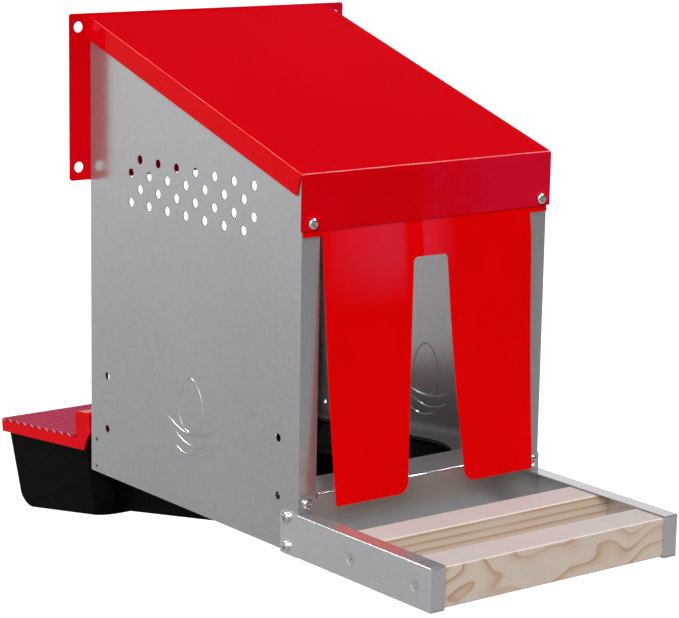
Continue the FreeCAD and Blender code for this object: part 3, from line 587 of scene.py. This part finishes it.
def leg_edges(z):
    """Inner and outer distance of a leg from the centre line at height z, corners rounded."""
    share = (CURTAIN_SLOT_TOP - z) / (CURTAIN_SLOT_TOP - CURTAIN_BOTTOM)
    outer = CURTAIN_LEG_OUTER[0] + (CURTAIN_LEG_OUTER[1] - CURTAIN_LEG_OUTER[0]) * share
    inner = interpolate(CURTAIN_LEG_INNER, z)
    above_toe = z - CURTAIN_BOTTOM
    if above_toe < CURTAIN_TOE_RADIUS:
        drop = CURTAIN_TOE_RADIUS - above_toe
        inner += CURTAIN_TOE_RADIUS - math.sqrt(max(CURTAIN_TOE_RADIUS ** 2 - drop ** 2, 0.0))
        outer -= CURTAIN_HEEL_TRIM * (drop / CURTAIN_TOE_RADIUS) ** 6
    below_slot = CURTAIN_SLOT_TOP - z
    if below_slot < CURTAIN_SLOT_RADIUS:
        rise = CURTAIN_SLOT_RADIUS - below_slot
        inner -= CURTAIN_SLOT_RADIUS - math.sqrt(max(CURTAIN_SLOT_RADIUS ** 2 - rise ** 2, 0.0))
    return inner, outer


def leg_heights():
    """Heights of a leg's rows, close together round the toe and the slot's corner."""
    toe = [CURTAIN_BOTTOM + CURTAIN_TOE_RADIUS * (1 - math.cos(math.radians(a)))
           for a in range(0, 90, CURTAIN_TOE_STEP)]
    middle = spaced(CURTAIN_BOTTOM + CURTAIN_TOE_RADIUS, CURTAIN_SLOT_TOP - CURTAIN_SLOT_RADIUS,
                    CURTAIN_LEG_ROWS)
    slot = [CURTAIN_SLOT_TOP - CURTAIN_SLOT_RADIUS * (1 - math.sin(math.radians(a)))
            for a in range(CURTAIN_SLOT_STEP, 91, CURTAIN_SLOT_STEP)]
    return toe + middle + slot


def curtain_faces(side):
    """Quads of one half of the sheet, as lists of points on its middle surface."""
    rows = [(z, spaced(*leg_edges(z), CURTAIN_LEG_COLUMNS)) for z in leg_heights()]
    faces = []
    for (low_z, low), (high_z, high) in zip(rows, rows[1:]):
        faces += strip_between(side, low_z, low, high_z, high)
    web_rows = spaced(CURTAIN_SLOT_TOP, CURTAIN_STRIP_BOTTOM, CURTAIN_WEB_ROWS)
    slot_x = leg_edges(CURTAIN_SLOT_TOP)[0]
    web_columns = spaced(0.0, slot_x, CURTAIN_WEB_COLUMNS)[:-1] + rows[-1][1]
    widened = [min(x, CURTAIN_LEG_OUTER[0]) for x in web_columns]
    for low_z, high_z in zip(web_rows, web_rows[1:]):
        faces += strip_between(side, low_z, widened, high_z, widened)
    strip_columns = widened + spaced(CURTAIN_WEB_HALF_WIDTH, CURTAIN_STRIP_HALF_WIDTH,
                                     CURTAIN_STRIP_COLUMNS)
    strip_rows = spaced(CURTAIN_STRIP_BOTTOM, CURTAIN_TOP, CURTAIN_STRIP_ROWS)
    for low_z, high_z in zip(strip_rows, strip_rows[1:]):
        faces += strip_between(side, low_z, strip_columns, high_z, strip_columns)
    return faces


def strip_between(side, low_z, low, high_z, high):
    """One row of quads between the distances low at height low_z and high at high_z."""
    return [[curtain_point(side, low[i], low_z), curtain_point(side, low[i + 1], low_z),
             curtain_point(side, high[i + 1], high_z), curtain_point(side, high[i], high_z)]
            for i in range(len(low) - 1)]


def thicken(name, faces, thickness):
    """Closed sheet of a given thickness along Y round the middle surface."""
    index, points, quads = {}, [], []
    for face in faces:
        quad = []
        for point in face:
            key = tuple(round(c, 6) for c in point)
            if key not in index:
                index[key] = len(points)
                points.append(point)
            quad.append(index[key])
        quads.append(quad)
    half = Vector((0, thickness / 2, 0))
    count = len(points)
    vertices = [p - half for p in points] + [p + half for p in points]
    solid = quads + [[i + count for i in reversed(q)] for q in quads]
    uses = {}
    for quad in quads:
        for a, b in zip(quad, quad[1:] + quad[:1]):
            uses.setdefault(frozenset((a, b)), []).append((a, b))
    for edge in uses.values():
        if len(edge) == 1:
            a, b = edge[0]
            solid.append([b, a, a + count, b + count])
    return make_object(name, vertices, solid)


def add_curtain(material):
    """Both halves of the sheet as fixed meshes, each hiding the imported curtain nodes it replaces.
    """
    for name, side in (("left", -1), ("right", 1)):
        faces = curtain_faces(side)
        piece = thicken("curtain_" + name + "_half", faces, CURTAIN_THICKNESS)
        shade_smooth(piece)
        use_material(piece, material)
        nodes = ["curtain_flap_" + name] + (["curtain_strip"] if side < 0 else [])
        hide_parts(*nodes)
        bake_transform(piece)


# ------------------------------------------------------------ embossed mark


def mark_paths():
    """Generic mark: an egg outline over three straw strokes, as lists of (y, z)."""
    egg = []
    for i in range(EGG_STEPS + 1):
        angle = 2 * math.pi * i / EGG_STEPS
        width = EGG_HALF_WIDTH * (1.0 - EGG_TAPER * math.sin(angle))
        egg.append((MARK_Y + width * math.cos(angle),
                    MARK_Z + EGG_CENTRE_RISE + EGG_HALF_HEIGHT * math.sin(angle)))
    steps = [i / STROKE_HALF_STEPS - 1 for i in range(2 * STROKE_HALF_STEPS + 1)]
    strokes = [[(MARK_Y + offset + half * t, MARK_Z + level + rise * t * t) for t in steps]
               for offset, half, rise, level in STROKES]
    return [egg] + strokes


def bead(path, face_x, outward):
    """Vertices and faces of a low rounded ridge that follows a path on a panel face."""
    closed = math.dist(path[0], path[-1]) < 1e-6
    vertices, faces = [], []
    for i, (y, z) in enumerate(path):
        before = path[i - 1] if i > 0 else (path[-2] if closed else path[0])
        after = path[i + 1] if i + 1 < len(path) else (path[1] if closed else path[-1])
        along = Vector((after[0] - before[0], after[1] - before[1])).normalized()
        from_end = min(i, len(path) - 1 - i)
        taper = 1.0 if closed else min(1.0, BEAD_END_SHARE + BEAD_END_SHARE * from_end)
        for across, rise in BEAD_SECTION:
            offset = across * BEAD_WIDTH / 2 * taper
            vertices.append((face_x + outward * BEAD_HEIGHT * rise * taper,
                             FRONT_Y + y - along.y * offset, BASE_Z + z + along.x * offset))
    size = len(BEAD_SECTION)
    for i in range(len(path) - 1):
        for j in range(size - 1):
            a = i * size + j
            faces.append([a, a + 1, a + size + 1, a + size])
    return vertices, faces


def add_panel_marks(material):
    """The mark on both side panels, as a raised line on their outer and inner faces."""
    for name, side in (("left", -1), ("right", 1)):
        vertices, faces = [], []
        for face_x, outward in ((side * PANEL_X, side), (side * (PANEL_X - SHEET), -side)):
            for path in mark_paths():
                more, quads = bead(path, face_x, outward)
                faces += [[i + len(vertices) for i in quad] for quad in quads]
                vertices += more
        piece = make_object("panel_mark_" + name, vertices, faces)
        shade_smooth(piece, BEAD_SMOOTH_ANGLE)
        use_material(piece, material)
        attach(piece, "housing")


# ------------------------------------------------- camera, lights and stage


def add_camera():
    camera = link_object("camera", bpy.data.cameras.new("camera"))
    azimuth, elevation = math.radians(CAMERA_AZIMUTH), math.radians(CAMERA_ELEVATION)
    level = math.cos(elevation)
    back = Vector((math.sin(azimuth) * level, -math.cos(azimuth) * level, math.sin(elevation)))
    turn = (-back).to_track_quat("-Z", "Y").to_matrix().to_4x4()
    turn = turn @ Matrix.Rotation(math.radians(CAMERA_ROLL), 4, "Z")
    camera.matrix_world = Matrix.Translation(CAMERA_TARGET + back * CAMERA_DISTANCE) @ turn
    camera.data.sensor_width = CAMERA_SENSOR
    camera.data.lens = CAMERA_LENS
    bpy.context.scene.camera = camera


def add_sun():
    light = bpy.data.lights.new("sun", "SUN")
    light.energy = SUN_STRENGTH
    light.angle = math.radians(SUN_ANGLE)
    sun = link_object("sun", light)
    sun.rotation_euler = (-SUN_DIRECTION).to_track_quat("-Z", "Y").to_euler()


def area_light(name, size, power):
    light = bpy.data.lights.new(name, "AREA")
    light.shape = "RECTANGLE"
    light.size, light.size_y = size
    light.energy = power
    return link_object(name, light)


def add_inside_light():
    """Soft light that falls through the opening in the back plate into the nest."""
    light = area_light("inside", INSIDE_LIGHT_SIZE, INSIDE_LIGHT_POWER)
    light.location = INSIDE_LIGHT_PLACE
    light.rotation_euler = (-math.pi / 2, 0.0, 0.0)
    light.visible_glossy = False


def add_world():
    """Soft surround: light high on the left, a bright strip low behind, dark elsewhere."""
    world = bpy.data.worlds.new("studio")
    bpy.context.scene.world = world
    world.use_nodes = True
    tree = world.node_tree
    place = tree.nodes.new("ShaderNodeTexCoord").outputs["Generated"]
    colors = []
    for aim, stops in WORLD_LIGHTS:
        dot = tree.nodes.new("ShaderNodeVectorMath")
        dot.operation = "DOT_PRODUCT"
        dot.inputs[1].default_value = Vector(aim).normalized()
        tree.links.new(place, dot.inputs[0])
        half = tree.nodes.new("ShaderNodeMapRange")
        half.inputs["From Min"].default_value = -1.0
        tree.links.new(dot.outputs["Value"], half.inputs["Value"])
        ramp = tree.nodes.new("ShaderNodeValToRGB")
        tree.links.new(half.outputs["Result"], ramp.inputs["Fac"])
        fill_ramp(ramp, stops)
        colors.append(ramp.outputs["Color"])
    total = tree.nodes.new("ShaderNodeMix")
    total.data_type = "RGBA"
    total.blend_type = "ADD"
    total.inputs[0].default_value = 1.0
    tree.links.new(colors[0], total.inputs[6])
    tree.links.new(colors[1], total.inputs[7])
    tree.links.new(total.outputs[2], tree.nodes["Background"].inputs["Color"])


def add_glints():
    """Lights seen only in reflections, for the bright lines along folds."""
    for name, aim, size, radiance in GLINTS:
        light = area_light(name, size, radiance * math.pi * size[0] * size[1])
        away = Vector(aim).normalized()
        light.location = GLINT_CENTRE + away * GLINT_DISTANCE
        light.rotation_euler = away.to_track_quat("Z", "Y").to_euler()
        light.visible_diffuse = False


def add_floor():
    z = CAD_BOUNDS[0].z - FLOOR_DROP
    h = FLOOR_HALF_SIZE
    floor = make_object("floor", [(-h, -h, z), (h, -h, z), (h, h, z), (-h, h, z)], [(0, 1, 2, 3)])
    use_material(floor, stage_floor())


# ---------------------------------------------------------------- assembly


def finish_nodes(materials):
    """Give every carried-over node its material and round its sharpest edges."""
    # Lit and shaded copies of the sheet: the arms painted lighter, the floor plate painted dark as
    # shade inside the box.
    bright = galvanised("galvanised_arms_painted_light", ARM_PAINTED_LIGHT_TONE)
    own = {"perch_bar_front": pine("pine_front", **PINE_FRONT),
           "perch_bar_rear": pine("pine_rear", **PINE_REAR),
           "perch_arm_left": bright, "perch_arm_right": bright,
           "floor_plate": galvanised("galvanised_floor_painted_shade", FLOOR_PLATE_PAINTED_SHADE_TONE)}
    for part in frame["record"]["subparts"]:
        name, slot = part["node"], part["material_slot"]
        use_material(NODES[name], own.get(name) or materials[slot])
        if slot in BEVEL_WIDTHS:
            add_bevel(NODES[name], BEVEL_WIDTHS[slot])


def main():
    materials = {"galvanised_sheet": galvanised("galvanised_sheet", PANEL_TONE),
                 "red_paint": red_paint(), "curtain_sheet": curtain_sheet(),
                 "tray_plastic": tray_plastic(), "lid_plastic": lid_plastic(),
                 "zinc_steel": zinc_steel()}
    bpy.context.scene.view_settings.view_transform = "Standard"
    add_camera()
    add_sun()
    add_inside_light()
    add_world()
    add_glints()
    add_floor()
    finish_nodes(materials)
    add_curtain(materials["curtain_sheet"])
    add_panel_marks(materials["galvanised_sheet"])


main()
